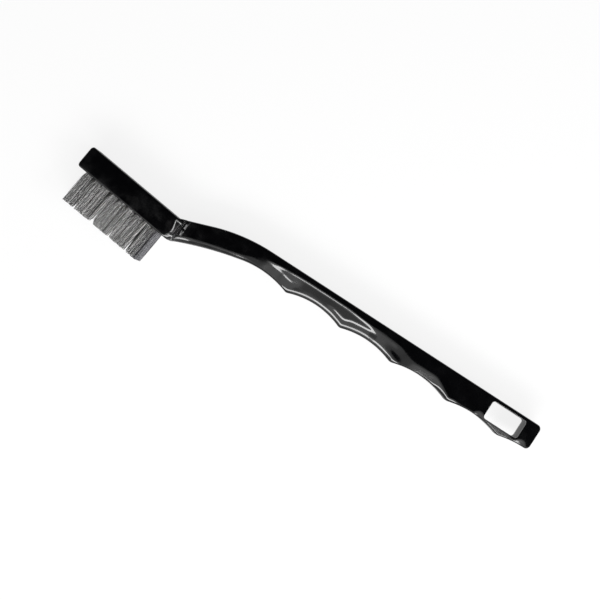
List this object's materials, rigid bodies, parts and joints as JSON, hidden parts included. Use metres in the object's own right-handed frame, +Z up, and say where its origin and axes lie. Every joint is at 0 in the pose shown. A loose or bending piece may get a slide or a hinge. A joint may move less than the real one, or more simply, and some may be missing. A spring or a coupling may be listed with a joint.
{
  "type": "crevice brush",
  "caption": "Slim cleaning brush with a bent, finger-grooved plastic handle, a hang slot and a narrow head set with rows of straight wire tufts.",
  "frame": {"origin": "centre of the head's lower broad side, on which the brush lies", "axes": "+X towards the end of the handle along the straight grip, -Y the way the wires point, +Z up through the thickness of the brush"},
  "size_m": [0.1845, 0.0283, 0.0127],
  "materials": {
    "handle_plastic": "black injection moulding, smooth with a soft gloss",
    "wire": "fine drawn stainless steel wire, cut straight",
    "anchor_strip": "flat drawn metal strip, cropped"
  },
  "bodies": {
    "root": {"handle": "handle_plastic", "tuft_right_1": "wire", "tuft_right_2": "wire", "tuft_right_3": "wire", "tuft_right_4": "wire", "tuft_right_5": "wire", "tuft_right_6": "wire", "tuft_right_7": "wire", "tuft_right_8": "wire", "tuft_right_9": "wire", "tuft_middle_1": "wire", "tuft_middle_2": "wire", "tuft_middle_3": "wire", "tuft_middle_4": "wire", "tuft_middle_5": "wire", "tuft_middle_6": "wire", "tuft_middle_7": "wire", "tuft_middle_8": "wire", "tuft_middle_9": "wire", "tuft_left_1": "wire", "tuft_left_2": "wire", "tuft_left_3": "wire", "tuft_left_4": "wire", "tuft_left_5": "wire", "tuft_left_6": "wire", "tuft_left_7": "wire", "tuft_left_8": "wire", "tuft_left_9": "wire", "anchor_right_1": "anchor_strip", "anchor_right_2": "anchor_strip", "anchor_right_3": "anchor_strip", "anchor_right_4": "anchor_strip", "anchor_right_5": "anchor_strip", "anchor_right_6": "anchor_strip", "anchor_right_7": "anchor_strip", "anchor_right_8": "anchor_strip", "anchor_right_9": "anchor_strip", "anchor_middle_1": "anchor_strip", "anchor_middle_2": "anchor_strip", "anchor_middle_3": "anchor_strip", "anchor_middle_4": "anchor_strip", "anchor_middle_5": "anchor_strip", "anchor_middle_6": "anchor_strip", "anchor_middle_7": "anchor_strip", "anchor_middle_8": "anchor_strip", "anchor_middle_9": "anchor_strip", "anchor_left_1": "anchor_strip", "anchor_left_2": "anchor_strip", "anchor_left_3": "anchor_strip", "anchor_left_4": "anchor_strip", "anchor_left_5": "anchor_strip", "anchor_left_6": "anchor_strip", "anchor_left_7": "anchor_strip", "anchor_left_8": "anchor_strip", "anchor_left_9": "anchor_strip"}
  },
  "joints": []
}
